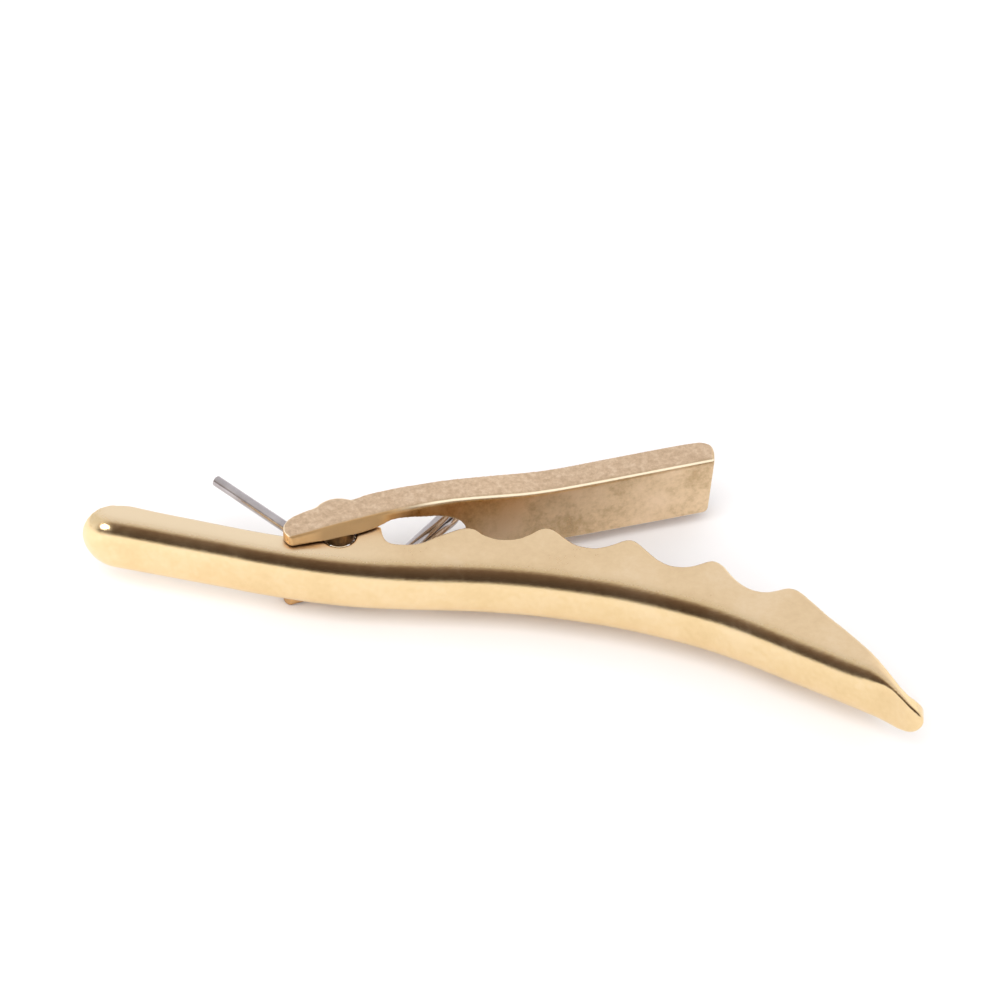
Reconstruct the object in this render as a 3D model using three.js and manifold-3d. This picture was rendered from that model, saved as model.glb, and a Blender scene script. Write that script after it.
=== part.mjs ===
// Sectioning clip: a stamped brass jaw with scalloped teeth, a stamped brass counter jaw hinged on it,
// and a steel torsion spring inside the hinge. Millimetres, +Z up.
//
// The clip lies on its side. The hinge axis is +Z through the origin, and Z = 0 is the outer face of the
// lower hinge arm, which the clip rests on. +X runs from the hinge towards the jaw tips, and +Y is the
// side that the counter jaw is on. Both jaws are channels open towards +Y: a web with a wall on each side.
// The main shapes are mirrored about the plane Z = MID; "half" is a distance from that plane.
import * as THREE from "three";
import { mergeVertices } from "three/addons/utils/BufferGeometryUtils.js";
import Module from "manifold-3d";

const wasm = await Module();
wasm.setup();

// ---- shared dimensions ----------------------------------------------------------------------------------
const JAW_HALF = 2.0; // half the outer width of the toothed jaw
const ARM_HALF = 2.85; // half the width over the counter jaw's hinge arms
const MID = ARM_HALF; // height of the mirror plane
const CLEAR = 1; // how far a cutting body passes the faces it cuts
const EDGE_STEPS = 4; // steps round the edge between a web and its walls

// ---- curves and outlines --------------------------------------------------------------------------------
const radians = (degrees) => (degrees * Math.PI) / 180;
const range = (from, to, steps) =>
  Array.from({ length: steps + 1 }, (_, i) => from + ((to - from) * i) / steps);
const arc = (x, y, radius, from, to, steps) =>
  range(from, to, steps).map((degrees) => [
    x + radius * Math.cos(radians(degrees)),
    y + radius * Math.sin(radians(degrees)),
  ]);
const circle = (radius, sides) => arc(0, 0, radius, 0, 360, sides).slice(0, -1);

// Smooth monotone curve through points, after Fritsch and Carlson; straight beyond both ends.
function curve(points) {
  const last = points.length - 1;
  const x = points.map((point) => point[0]);
  const y = points.map((point) => point[1]);
  const secant = range(0, last - 1, last - 1).map((i) => (y[i + 1] - y[i]) / (x[i + 1] - x[i]));
  const tangent = [secant[0]];
  for (let i = 1; i < last; i++) {
    const before = secant[i - 1];
    const after = secant[i];
    const widthBefore = x[i] - x[i - 1];
    const widthAfter = x[i + 1] - x[i];
    const weightBefore = 2 * widthAfter + widthBefore;
    const weightAfter = widthAfter + 2 * widthBefore;
    tangent.push(
      before * after <= 0
        ? 0
        : (weightBefore + weightAfter) / (weightBefore / before + weightAfter / after),
    );
  }
  tangent.push(secant[last - 1]);
  return (at) => {
    if (at <= x[0]) return y[0] + tangent[0] * (at - x[0]);
    if (at >= x[last]) return y[last] + tangent[last] * (at - x[last]);
    let i = 0;
    while (at > x[i + 1]) i++;
    const width = x[i + 1] - x[i];
    const s = (at - x[i]) / width;
    const blend = s * s * (3 - 2 * s);
    const bend = s * (1 - s) * (1 - s) * tangent[i] - s * s * (1 - s) * tangent[i + 1];
    return y[i] * (1 - blend) + y[i + 1] * blend + width * bend;
  };
}

// The +Y face of a sheet whose -Y face is the given curve.
function innerFace(outerFace, sheet) {
  const step = 0.05;
  const slope = (x) => (outerFace(x + step) - outerFace(x - step)) / (2 * step);
  return (x) => outerFace(x) + sheet * Math.hypot(1, slope(x));
}

// ---- solids ---------------------------------------------------------------------------------------------
function solid(geometry) {
  for (const name of Object.keys(geometry.attributes))
    if (name !== "position") geometry.deleteAttribute(name);
  const merged = mergeVertices(geometry, 1e-4);
  return new wasm.Manifold(
    new wasm.Mesh({
      numProp: 3,
      vertProperties: new Float32Array(merged.attributes.position.array),
      triVerts: new Uint32Array(merged.index.array),
    }),
  );
}

function geometryOf(manifold) {
  const mesh = manifold.getMesh();
  const geometry = new THREE.BufferGeometry();
  geometry.setAttribute("position", new THREE.Float32BufferAttribute(mesh.vertProperties, 3));
  geometry.setIndex(new THREE.BufferAttribute(new Uint32Array(mesh.triVerts), 1));
  const flat = geometry.toNonIndexed();
  flat.computeVertexNormals();
  return flat;
}

const shapeOf = (points) => new THREE.Shape(points.map(([x, y]) => new THREE.Vector2(x, y)));
const extrude = (points, depth) =>
  new THREE.ExtrudeGeometry(shapeOf(points), { depth, bevelEnabled: false, steps: 1 });

// Prism of an X, Y outline, by default through the whole clip.
const prism = (points, z0 = -CLEAR, z1 = 2 * MID + CLEAR) =>
  solid(extrude(points, z1 - z0).translate(0, 0, z0));

// Prism of an X, Z outline between two Y values.
const prismY = (points, y0, y1) =>
  solid(extrude(points, y1 - y0).rotateX(Math.PI / 2).translate(0, y1, 0));

// Solid block with a curved floor on its -Y side and a flat +Y face at Y = top. The outline is X, half
// width. floor(x) is the floor's Y and edge(x) the radius between floor and sides. An end is pointed on
// the mirror plane when its half width is 0, and square otherwise.
function tray(outline, floor, edge, top) {
  const last = outline.length - 1;
  const inward = outline.map(([, half], i) => {
    if (half === 0) return i === 0 ? [1, 0] : [-1, 0];
    const before = outline[Math.max(i - 1, 0)];
    const after = outline[Math.min(i + 1, last)];
    const along = [after[0] - before[0], after[1] - before[1]];
    const length = Math.hypot(...along);
    return [along[1] / length, -along[0] / length];
  });
  // Rings of X, Y, half width: the +Y face's rim, then down the sides and round the edge.
  const rings = [outline.map(([x, half]) => [x, top, half])];
  for (const angle of range(0, Math.PI / 2, EDGE_STEPS))
    rings.push(
      outline.map(([x, half], i) => {
        const radius = edge(x);
        const inset = radius * (1 - Math.cos(angle));
        const ringX = x + inward[i][0] * inset;
        const ringHalf = half === 0 ? 0 : Math.max(half + inward[i][1] * inset, 0.02);
        return [ringX, floor(ringX) + radius * (1 - Math.sin(angle)), ringHalf];
      }),
    );

  const positions = [];
  const apart = (p, q) => Math.hypot(p[0] - q[0], p[1] - q[1], p[2] - q[2]) > 2e-4;
  // Leaves out the zero-sized triangles at pointed ends.
  const triangle = (a, b, c) => {
    if (apart(a, b) && apart(b, c) && apart(c, a)) positions.push(...a, ...b, ...c);
  };
  const quad = (a, b, c, d) => {
    triangle(a, b, c);
    triangle(a, c, d);
  };
  const upper = ([x, y, half]) => [x, y, MID + half];
  const lower = ([x, y, half]) => [x, y, MID - half];
  // Face across the mirror plane, between two ring points and their mirror images.
  const bridge = (p, q, flip) => {
    const corners = [upper(p), lower(p), lower(q), upper(q)];
    if (flip) corners.reverse();
    quad(...corners);
  };
  for (let k = 0; k + 1 < rings.length; k++)
    for (let i = 0; i < last; i++) {
      const [a, b, c, d] = [rings[k][i], rings[k][i + 1], rings[k + 1][i + 1], rings[k + 1][i]];
      quad(...[a, d, c, b].map(upper));
      quad(...[a, b, c, d].map(lower));
    }
  for (const [ring, flip] of [[rings[0], true], [rings.at(-1), false]])
    for (let i = 0; i < last; i++) bridge(ring[i], ring[i + 1], flip);
  for (const [i, flip] of [[0, false], [last, true]])
    if (outline[i][1] !== 0)
      for (let k = 0; k + 1 < rings.length; k++) bridge(rings[k][i], rings[k + 1][i], flip);

  const geometry = new THREE.BufferGeometry();
  geometry.setAttribute("position", new THREE.Float32BufferAttribute(positions, 3));
  return solid(geometry);
}

// ---- toothed jaw ----------------------------------------------------------------------------------------
const JAW_SHEET = 0.75;
const JAW_TOP = 4; // Y of the blank's +Y face, beyond its walls
const HANDLE_END = -13.68; // centre of the handle's rounded end
const NOSE_START = 32.2; // where the nose starts to narrow
const TIP_END = 35.65; // end of the nose
const NOSE_POWER = 1.4; // fullness of the nose
const INNER_NOSE_BACK = 0.7; // how far the inside starts to narrow before the outside
const INNER_TIP_BACK = 1.05; // how far the inside ends before the outside
const EAR_R = 1.9; // round ear that the pivot hole is in
const EAR_Y = -0.12;
const HOLE_R = 1.02; // half the width of the obround pivot hole
const HOLE_DROP = 1.02; // distance between the hole's two centres
const JAW_SIDE_BASE = [[36.6, -20], [-16.6, -20]]; // corners that close the side outline, clear of the jaw

// Outer face of the web: X, Y.
const JAW_WEB = [
  [-15.8, 0.32], [-13.7, -0.25], [-12.4, -0.61], [-11.2, -0.946], [-10.0, -1.282], [-8.8, -1.618],
  [-7.6, -1.954], [-6.65, -2.22], [-5.43, -2.59], [-4.21, -2.91], [-3.0, -3.21], [-1.77, -3.49],
  [-0.55, -3.72], [0.66, -3.91], [1.88, -4.06], [3.1, -4.17], [4.32, -4.26], [5.54, -4.32],
  [6.76, -4.36], [7.98, -4.42], [9.2, -4.51], [10.42, -4.64], [11.64, -4.8], [12.86, -5.01],
  [14.08, -5.26], [15.3, -5.53], [16.52, -5.83], [17.74, -6.18], [18.96, -6.59], [20.18, -7.03],
  [21.4, -7.51], [22.62, -8.04], [23.84, -8.66], [25.06, -9.35], [26.27, -10.08], [27.49, -10.83],
  [28.71, -11.56], [29.93, -12.3], [31.15, -13.02], [32.37, -13.64], [33.0, -13.98], [33.6, -14.45],
  [34.2, -15.05], [34.8, -15.62], [35.2, -15.83], [35.8, -15.95],
];
// +Y edge of the side walls, from the handle's end to the hinge: X, Y.
const HANDLE_EDGE = [
  [-16.4, 1.1], [-15.7, 1.45], [-15.1, 1.66], [-14.4, 1.78], [-13.66, 1.8], [-13.2, 1.78],
  [-12.75, 1.72], [-11.53, 1.32], [-10.31, 0.94], [-9.09, 0.58], [-7.87, 0.21], [-6.65, -0.15],
  [-5.43, -0.5], [-4.21, -0.82], [-3.3, -1.02], [-2.7, -1.1],
];
// The same edge from the hinge ear along the five scallops and down the nose: X, Y.
const TOOTH_EDGE = [
  [2.55, -0.2], [2.6, -0.5], [2.66, -0.88], [2.8, -1.3], [3.01, -1.57], [3.29, -1.7], [3.71, -1.77],
  [4.48, -1.77], [5.12, -1.57], [6.02, -1.02], [6.92, -0.57], [7.37, -0.36], [7.82, -0.27],
  [8.17, -0.33], [8.46, -0.52], [8.84, -0.88], [9.49, -1.23], [10.26, -1.34], [11.03, -1.19],
  [11.67, -0.82], [12.19, -0.42], [12.57, -0.29], [12.92, -0.37], [13.21, -0.57], [13.73, -1.15],
  [14.37, -1.77], [15.01, -2.03], [15.65, -2.11], [16.29, -1.96], [16.93, -1.67], [17.38, -1.44],
  [17.71, -1.38], [17.98, -1.46], [18.22, -1.67], [18.73, -2.31], [19.37, -3.1], [20.02, -3.62],
  [20.66, -3.81], [21.43, -3.78], [22.07, -3.54], [22.49, -3.34], [22.8, -3.29], [23.1, -3.42],
  [23.47, -3.8], [23.84, -4.45], [24.44, -5.3], [25.06, -5.83], [25.67, -6.07], [26.27, -6.09],
  [26.82, -5.93], [27.2, -5.79], [27.56, -5.78], [27.92, -5.95], [28.29, -6.3], [28.71, -6.83],
  [29.32, -7.63], [29.93, -8.43], [30.54, -9.14], [31.15, -9.88], [32.19, -11.22], [32.98, -12.3],
  [33.59, -13.2], [34.1, -13.98], [34.5, -14.45], [34.9, -14.72], [35.4, -14.8], [36.2, -14.85],
];
// Radius between web and walls, outside and inside: X, radius.
const JAW_EDGE_OUTER = [
  [-16, 1.3], [0, 1.35], [6, 1.5], [30.5, 1.5], [32.4, 1.2], [33.2, 0.75], [34.2, 0.32], [36, 0.2],
];
const JAW_EDGE_INNER = [
  [-16, 0.55], [0, 0.6], [6, 0.75], [30.5, 0.75], [32.4, 0.4], [33.4, 0.15], [36, 0.12],
];

// Plan outline: round handle end, parallel sides, narrowing nose.
function jawPlan(half, tipEnd, noseStart) {
  const plan = [[HANDLE_END - half, 0], ...arc(HANDLE_END, 0, half, 180, 90, 8).slice(1)];
  for (const x of range(HANDLE_END, noseStart, 38).slice(1)) plan.push([x, half]);
  for (const degrees of range(0, 90, 10).slice(1, -1)) {
    const reach = Math.sin(radians(degrees));
    const x = noseStart + (tipEnd - noseStart) * reach;
    plan.push([x, half * Math.sqrt(1 - reach ** NOSE_POWER)]);
  }
  plan.push([tipEnd, 0]);
  return plan;
}

function toothedJaw() {
  const web = curve(JAW_WEB);
  const outerPlan = jawPlan(JAW_HALF, TIP_END, NOSE_START);
  const innerPlan = jawPlan(
    JAW_HALF - JAW_SHEET,
    TIP_END - INNER_TIP_BACK,
    NOSE_START - INNER_NOSE_BACK,
  );
  const outer = tray(outerPlan, web, curve(JAW_EDGE_OUTER), JAW_TOP);
  const inner = tray(innerPlan, innerFace(web, JAW_SHEET), curve(JAW_EDGE_INNER), JAW_TOP + CLEAR);
  const ear = arc(0, EAR_Y, EAR_R, 212, 4, 18);
  const side = prism([...HANDLE_EDGE, ...ear, ...TOOTH_EDGE, ...JAW_SIDE_BASE]);
  const pivotHole = prism([
    ...arc(0, 0, HOLE_R, 0, 180, 14),
    ...arc(0, -HOLE_DROP, HOLE_R, 180, 360, 14),
  ]);
  return outer.subtract(inner).intersect(side).subtract(pivotHole);
}

// ---- counter jaw ----------------------------------------------------------------------------------------
const ARM_SHEET = 0.78; // sheet thickness of the whole counter jaw
const COUNTER_TOP = 9; // Y of the blank's +Y face, beyond its walls
const COUNTER_EDGE_OUTER = 0.3; // radius between web and walls
const COUNTER_EDGE_INNER = 0.12;
const INNER_ENDS = [-4.2, 23.8]; // the inside runs out past both ends of the blank
const CUT_START = -4.5; // hinge end of the cut-out in the web
const CUT_APEX = 7.75; // far end of its arch
const CUT_CLEAR = 0.004; // how far it goes into each wall
const CUT_Y = 6; // reach of the cuts towards -Y, and of the arch towards +Y
const COUNTER_END = 22.9;
const END_SLANT = 0.4; // how much shorter the lower side is at the end
const LOWER_CORNER_R = 0.55;
const UPPER_CORNER_R = 0.2;
const END_PLAN_START = -5; // clear of the arms
const LIP_INSET = 0.2; // from the arm's outer face to the lip's outer side
const LIP_RISE = 0.02; // how far the lip's outer edge lies inside the web line
const LIP_ROOT = 0.5; // how far the lip reaches into the arm
const HUB_R = 0.94; // pivot hub pressed inwards out of each arm
const HUB_START = 0.3; // depth in the arm at which it starts
const HUB_IN = 0.95; // how far from the mirror plane it ends

// Outer face of the web: X, Y.
const COUNTER_WEB = [
  [-3.6, -2.4], [-2.87, -2.12], [-1.51, -1.57], [-0.86, -1.28], [0.05, -0.91], [0.88, -0.58],
  [2.41, -0.02], [4.04, 0.54], [5.54, 1.0], [6.76, 1.34], [8.59, 1.8], [10.42, 2.27], [12.25, 2.76],
  [15.9, 3.74], [16.9, 4.0236], [18.4, 4.449], [19.9, 4.8744], [21.4, 5.2998], [22.0, 5.47],
  [23.3, 5.8387],
];
// X, half the outer width over the walls.
const COUNTER_HALF = [
  [-3.6, 2.85], [4.3, 2.85], [5.5, 2.83], [6.76, 2.77], [8.0, 2.66], [9.2, 2.51], [10.4, 2.35],
  [11.4, 2.23], [12.4, 2.16], [13.5, 2.13], [23.3, 2.15],
];
// X positions at which the blank is built.
const STATIONS = [
  ...range(-3.6, 4.3, 9),
  ...range(4.3, 13.5, 12).slice(1),
  ...range(13.5, 23.3, 8).slice(1),
];
// Outline of the walls, seen along the hinge axis, without the edge that the web closes: X, Y.
const COUNTER_WALL = [
  [-2.6, -2.6], [-2.86, -2.16], [-3.08, -2.02], [-3.28, -1.78], [-3.4, -1.45], [-3.4, -1.1],
  [-3.25, -0.7], [-3.0, -0.37], [-2.38, 0.09], [-1.77, 0.45], [-1.5, 0.66], [-1.25, 0.98],
  [-0.93, 1.28], [-0.55, 1.49], [-0.1, 1.59], [0.35, 1.56], [0.68, 1.47], [1.1, 1.55], [1.88, 1.88],
  [3.1, 2.28], [4.32, 2.63], [5.54, 2.95], [6.76, 3.26], [7.98, 3.57], [9.2, 3.91], [10.42, 4.25],
  [11.64, 4.57], [12.86, 4.87], [14.08, 5.19], [15.3, 5.55], [20.4, 6.99], [21.55, 7.27],
  [22.05, 7.33], [22.45, 7.22], [22.72, 6.98], [22.86, 6.6], [22.9, 6.1], [22.9, 5.4], [22.6, 4.2],
];
// How far the inner edge of each arm's lip hangs towards -Y from the web line: X, drop.
const ARM_LIP = [
  [-3.3, 0], [-2.5, 0.08], [-1.37, 0.3], [-0.62, 0.51], [0.36, 0.58], [1.15, 0.66], [1.99, 0.56],
  [2.43, 0.4], [3.2, 0],
];
// Arch of the cut-out, where it leaves the walls and closes over the web: X, half width.
const ARCH_HALF = [
  [3.6, 2.1], [4.0, 2.03], [4.4, 1.95], [4.82, 1.86], [5.24, 1.76], [5.57, 1.71], [5.9, 1.64],
  [6.2, 1.555], [6.5, 1.44], [6.8, 1.31], [7.07, 1.15], [7.25, 1.02], [7.4, 0.87], [7.52, 0.72],
  [7.62, 0.56], [7.69, 0.38], [7.73, 0.2],
];

const counterWeb = curve(COUNTER_WEB);
const counterHalf = curve(COUNTER_HALF);
const counterInnerHalf = (x) => counterHalf(x) - ARM_SHEET;

// Arched cut-out that leaves only the two hinge arms at the hinge end of the web.
function archCut() {
  const cutHalf = (x) => counterInnerHalf(x) + CUT_CLEAR;
  const side = range(CUT_START, ARCH_HALF[0][0], 8).map((x) => [x, cutHalf(x)]);
  for (const [x, half] of ARCH_HALF.slice(1)) side.push([x, Math.min(cutHalf(x), half)]);
  const outline = [
    ...side.map(([x, half]) => [x, MID + half]),
    [CUT_APEX, MID],
    ...side.reverse().map(([x, half]) => [x, MID - half]),
  ];
  return prismY(outline, -CUT_Y, CUT_Y);
}

// Plan that trims the tip end, slanted and with rounded corners.
function endPlan() {
  const half = counterHalf(COUNTER_END);
  const lowerX = COUNTER_END - END_SLANT - LOWER_CORNER_R;
  const upperX = COUNTER_END - UPPER_CORNER_R;
  const outline = [
    [END_PLAN_START, -CLEAR],
    ...arc(lowerX, MID - half + LOWER_CORNER_R, LOWER_CORNER_R, -90, 0, 6),
    ...arc(upperX, MID + half - UPPER_CORNER_R, UPPER_CORNER_R, 0, 90, 3),
    [upperX, 2 * MID + CLEAR],
    [END_PLAN_START, 2 * MID + CLEAR],
  ];
  return prismY(outline, -CUT_Y, COUNTER_TOP);
}

// Slanted lip along the -Y edge of an arm, reaching in to the toothed jaw's wall.
// sign is 1 for the upper arm and -1 for the lower one.
function armLip(sign) {
  const drop = curve(ARM_LIP);
  const stations = range(ARM_LIP[0][0], ARM_LIP.at(-1)[0], 20);
  const outerZ = MID + sign * (ARM_HALF - LIP_INSET);
  const innerZ = MID + sign * JAW_HALF;
  const positions = stations.flatMap((x) => {
    const y = counterWeb(x);
    return [
      [x, y + LIP_RISE, outerZ],
      [x, y - drop(x), innerZ],
      [x, y + LIP_ROOT, innerZ],
      [x, y + LIP_ROOT, outerZ],
    ].flat();
  });
  const index = [];
  const quad = (a, b, c, d) =>
    sign > 0 ? index.push(a, c, b, a, d, c) : index.push(a, b, c, a, c, d);
  const last = 4 * (stations.length - 1);
  for (let i = 0; i < last; i += 4)
    for (let j = 0; j < 4; j++) {
      const next = (j + 1) % 4;
      quad(i + j, i + 4 + j, i + 4 + next, i + next);
    }
  quad(0, 1, 2, 3);
  quad(last + 3, last + 2, last + 1, last);
  const geometry = new THREE.BufferGeometry();
  geometry.setAttribute("position", new THREE.Float32BufferAttribute(positions, 3));
  geometry.setIndex(index);
  return solid(geometry);
}

function counterJaw() {
  const outerPlan = STATIONS.map((x) => [x, counterHalf(x)]);
  const innerPlan = [INNER_ENDS[0], ...STATIONS.slice(1, -1), INNER_ENDS[1]].map((x) => [
    x,
    counterInnerHalf(x),
  ]);
  const floor = innerFace(counterWeb, ARM_SHEET);
  const outer = tray(outerPlan, counterWeb, () => COUNTER_EDGE_OUTER, COUNTER_TOP);
  const inner = tray(innerPlan, floor, () => COUNTER_EDGE_INNER, COUNTER_TOP + CLEAR);
  const hub = (z0, z1) => prism(circle(HUB_R, 24), z0, z1);
  return outer
    .add(armLip(1))
    .add(armLip(-1))
    .intersect(prism(COUNTER_WALL))
    .subtract(inner)
    .subtract(archCut())
    .intersect(endPlan())
    .add(hub(HUB_START, MID - HUB_IN))
    .add(hub(MID + HUB_IN, 2 * MID - HUB_START));
}

// ---- torsion spring -------------------------------------------------------------------------------------
// Leg A runs straight from its free end to the coil, which lies round the hinge axis. Leg B leaves
// towards the tips, rises through the cut-out and doubles back in a hook on the web's +Y side.
const WIRE_R = 0.34;
const COIL_R = 1.5; // mean radius
const COIL_PITCH = 0.73; // fall per turn
const COIL_TOP = MID + 0.74; // height of the wire's centre where the coil starts
const COIL_FROM = 224.2; // degrees round the hinge axis
const COIL_TO = 2 * 360 + 275;
const LEG_A_END = [-7.5, 5.48, MID + 0.66];
// X, Y, and Z from the mirror plane.
const LEG_B = [
  [1.2, -1.41, -0.72], [2.2, -1.27, -0.62], [2.75, -1.08, -0.55], [3.15, -0.7, -0.5],
  [3.6, -0.25, -0.47], [4.6, 0.965, -0.42], [5.3, 1.9, -0.4], [5.9, 2.7, -0.38], [6.35, 3.3, -0.33],
  [6.7, 3.77, -0.24], [7.0, 4.14, -0.32], [7.14, 4.32, -0.6], [7.14, 4.32, -0.94],
  [7.0, 4.14, -1.22], [6.7, 3.77, -1.3], [6.35, 3.3, -1.22], [5.9, 2.7, -1.17], [5.5, 2.17, -1.16],
  [5.1, 1.64, -1.16],
];

function torsionSpring() {
  const coil = range(COIL_FROM, COIL_TO, 48).map((degrees) => [
    COIL_R * Math.cos(radians(degrees)),
    COIL_R * Math.sin(radians(degrees)),
    COIL_TOP - (COIL_PITCH * (degrees - COIL_FROM)) / 360,
  ]);
  const legA = range(0, 1, 4)
    .slice(0, -1)
    .map((t) => LEG_A_END.map((start, axis) => start + (coil[0][axis] - start) * t));
  const legB = LEG_B.map(([x, y, z]) => [x, y, MID + z]);
  const path = [...legA, ...coil, ...legB].map((point) => new THREE.Vector3(...point));
  return solid(
    new THREE.ExtrudeGeometry(shapeOf(circle(WIRE_R, 10)), {
      steps: 130,
      bevelEnabled: false,
      extrudePath: new THREE.CatmullRomCurve3(path, false, "centripetal"),
    }),
  );
}

// ---- assembly -------------------------------------------------------------------------------------------
function part(name, manifold, { color, roughness }) {
  const material = new THREE.MeshStandardMaterial({ color, roughness, metalness: 1 });
  const mesh = new THREE.Mesh(geometryOf(manifold), material);
  mesh.name = name;
  return mesh;
}

const clip = new THREE.Group();
clip.add(part("toothed_jaw", toothedJaw(), { color: 0xd9b06c, roughness: 0.38 }));
clip.add(part("counter_jaw", counterJaw(), { color: 0xb89260, roughness: 0.5 }));
clip.add(part("torsion_spring", torsionSpring(), { color: 0xa8a4a4, roughness: 0.25 }));
export default clip;
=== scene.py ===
"""Sectioning clip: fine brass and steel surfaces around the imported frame.

The clip lies on its side on the floor, with the hinge axis along Z through x = y = 0. The handle
is towards -X, the teeth towards +X, and both brass trays open towards +Y. The camera looks
from -Y and above. Sizes are in millimetres up to mesh_object; materials and staging use metres.
"""

import math

import bmesh
import bpy
import numpy as np
from mathutils import Matrix, Vector


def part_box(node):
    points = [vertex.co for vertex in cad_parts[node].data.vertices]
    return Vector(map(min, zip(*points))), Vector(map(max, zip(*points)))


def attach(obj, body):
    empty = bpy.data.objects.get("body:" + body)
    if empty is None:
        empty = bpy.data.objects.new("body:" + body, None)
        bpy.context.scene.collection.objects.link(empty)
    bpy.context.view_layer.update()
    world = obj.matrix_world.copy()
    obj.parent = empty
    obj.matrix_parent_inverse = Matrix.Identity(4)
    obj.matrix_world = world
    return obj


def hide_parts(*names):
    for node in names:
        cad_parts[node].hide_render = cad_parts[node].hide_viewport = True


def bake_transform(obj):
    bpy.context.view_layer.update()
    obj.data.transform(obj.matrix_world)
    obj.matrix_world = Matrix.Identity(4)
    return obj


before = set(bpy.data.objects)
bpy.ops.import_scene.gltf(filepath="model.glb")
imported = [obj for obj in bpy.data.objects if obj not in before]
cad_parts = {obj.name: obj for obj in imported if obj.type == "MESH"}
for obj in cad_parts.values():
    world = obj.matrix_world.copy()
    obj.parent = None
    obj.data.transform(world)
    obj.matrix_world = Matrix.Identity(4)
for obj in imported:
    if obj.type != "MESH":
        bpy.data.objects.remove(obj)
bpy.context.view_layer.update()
MM = 0.001

# ---- sizes, millimetres ----------------------------------------------------------------------
arm_low, arm_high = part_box("counter_jaw")
MID = (arm_low.z + arm_high.z) / 2 / MM  # middle plane of the clip
CUT_LOW, CUT_HIGH = -1, 2 * MID + 1  # z range of cutters that pass right through
VOXEL = 0.075

JAW_HALF, JAW_SHEET = 2.0, 0.75  # half width, sheet thickness
HANDLE_END, TIP_END, NOSE_START = -13.68, 35.65, 32.2  # x; HANDLE_END centres the round end
TIP_WALL, NOSE_INSET = 1.05, 0.7  # how far the hollow stays short of TIP_END and NOSE_START
NOSE_POWER = 1.4
HOLE_R, HOLE_DROP = 1.02, 1.02
EAR_R, EAR_DROP = 1.9, 0.12

ARM_HALF, ARM_SHEET = 2.85, 0.78  # half width, sheet thickness
HUB_R, HUB_IN, HUB_MARGIN = 0.94, 0.95, 0.3
LIP_IN, LIP_OUT, LIP_TOP = 2.0, ARM_HALF - 0.2, 0.5
ARCH_APEX, ARCH_PLAY = 7.75, 0.004
COUNTER_END, END_SLANT, CORNER_R, SMALL_CORNER_R = 22.9, 0.4, 0.55, 0.2

WIRE_R, COIL_R, COIL_PITCH = 0.34, 1.5, 0.73
WIRE_BEVEL = 0.07
COIL_START, COIL_STOP, COIL_TOP = 224.2, 275 + 720, 0.74  # degrees, degrees, z above MID
LEG_START = (-7.5, 5.48, MID + 0.66)

# Outside of the jaw's web: x, y
JAW_WEB = [
    (-15.8, 0.32), (-13.7, -0.25), (-12.4, -0.61), (-11.2, -0.946), (-10.0, -1.282),
    (-8.8, -1.618), (-7.6, -1.954), (-6.65, -2.22), (-5.43, -2.59), (-4.21, -2.91), (-3.0, -3.21),
    (-1.77, -3.49), (-0.55, -3.72), (0.66, -3.91), (1.88, -4.06), (3.1, -4.17), (4.32, -4.26),
    (5.54, -4.32), (6.76, -4.36), (7.98, -4.42), (9.2, -4.51), (10.42, -4.64), (11.64, -4.8),
    (12.86, -5.01), (14.08, -5.26), (15.3, -5.53), (16.52, -5.83), (17.74, -6.18), (18.96, -6.59),
    (20.18, -7.03), (21.4, -7.51), (22.62, -8.04), (23.84, -8.66), (25.06, -9.35),
    (26.27, -10.08), (27.49, -10.83), (28.71, -11.56), (29.93, -12.3), (31.15, -13.02),
    (32.37, -13.64), (33.0, -13.98), (33.6, -14.45), (34.2, -15.05), (34.8, -15.62),
    (35.2, -15.83), (35.8, -15.95),
]
# Free edge of the jaw's side walls, handle side of the ear: x, y
HANDLE_EDGE = [
    (-16.4, 1.1), (-15.7, 1.45), (-15.1, 1.66), (-14.4, 1.78), (-13.66, 1.8), (-13.2, 1.78),
    (-12.75, 1.72), (-11.53, 1.32), (-10.31, 0.94), (-9.09, 0.58), (-7.87, 0.21), (-6.65, -0.15),
    (-5.43, -0.5), (-4.21, -0.82), (-3.3, -1.02), (-2.7, -1.1),
]
# Free edge of the jaw's side walls, toothed side of the ear: x, y
TOOTH_EDGE = [
    (2.55, -0.2), (2.6, -0.5), (2.66, -0.88), (2.8, -1.3), (3.01, -1.57), (3.29, -1.7),
    (3.71, -1.77), (4.48, -1.77), (5.12, -1.57), (6.02, -1.02), (6.92, -0.57), (7.37, -0.36),
    (7.82, -0.27), (8.17, -0.33), (8.46, -0.52), (8.84, -0.88), (9.49, -1.23), (10.26, -1.34),
    (11.03, -1.19), (11.67, -0.82), (12.19, -0.42), (12.57, -0.29), (12.92, -0.37),
    (13.21, -0.57), (13.73, -1.15), (14.37, -1.77), (15.01, -2.03), (15.65, -2.11),
    (16.29, -1.96), (16.93, -1.67), (17.38, -1.44), (17.71, -1.38), (17.98, -1.46),
    (18.22, -1.67), (18.73, -2.31), (19.37, -3.1), (20.02, -3.62), (20.66, -3.81), (21.43, -3.78),
    (22.07, -3.54), (22.49, -3.34), (22.8, -3.29), (23.1, -3.42), (23.47, -3.8), (23.84, -4.45),
    (24.44, -5.3), (25.06, -5.83), (25.67, -6.07), (26.27, -6.09), (26.82, -5.93), (27.2, -5.79),
    (27.56, -5.78), (27.92, -5.95), (28.29, -6.3), (28.71, -6.83), (29.32, -7.63), (29.93, -8.43),
    (30.54, -9.14), (31.15, -9.88), (32.19, -11.22), (32.98, -12.3), (33.59, -13.2),
    (34.1, -13.98), (34.5, -14.45), (34.9, -14.72), (35.4, -14.8), (36.2, -14.85),
]
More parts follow.
